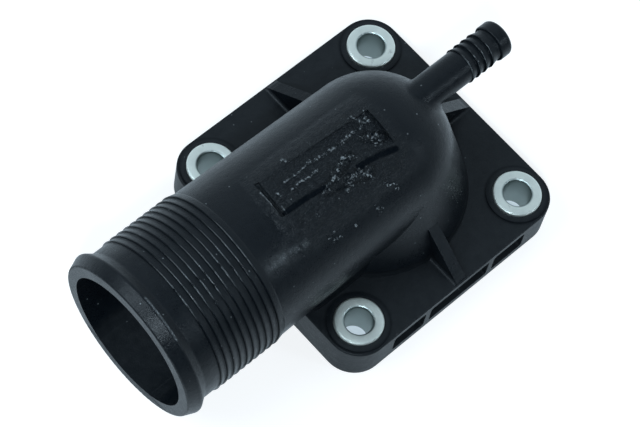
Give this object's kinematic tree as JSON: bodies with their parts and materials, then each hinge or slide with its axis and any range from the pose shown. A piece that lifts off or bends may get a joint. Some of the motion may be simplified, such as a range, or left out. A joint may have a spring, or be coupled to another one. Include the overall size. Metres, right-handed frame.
{
  "type": "coolant outlet connector",
  "caption": "Moulded coolant outlet with a square flange, a round riser, an elbow to a ribbed hose spigot, a small barbed bleed nozzle and steel bolt sleeves.",
  "frame": {"origin": "centre of the port and of the four bolt holes, on the mounting face", "axes": "-X is the way the large hose leaves, +X the way the small hose leaves, +Z out of the mounting face into the body"},
  "size_m": [0.1088, 0.0658, 0.0458],
  "materials": {
    "black_nylon": "satin moulded, glass filled",
    "zinc_plated_steel": "satin zinc plate",
    "seal_rubber": "matte"
  },
  "bodies": {
    "root": {"housing": "black_nylon", "sleeve_spigot_left": "zinc_plated_steel", "sleeve_spigot_right": "zinc_plated_steel", "sleeve_nozzle_left": "zinc_plated_steel", "sleeve_nozzle_right": "zinc_plated_steel", "flange_seal": "seal_rubber"}
  },
  "joints": []
}
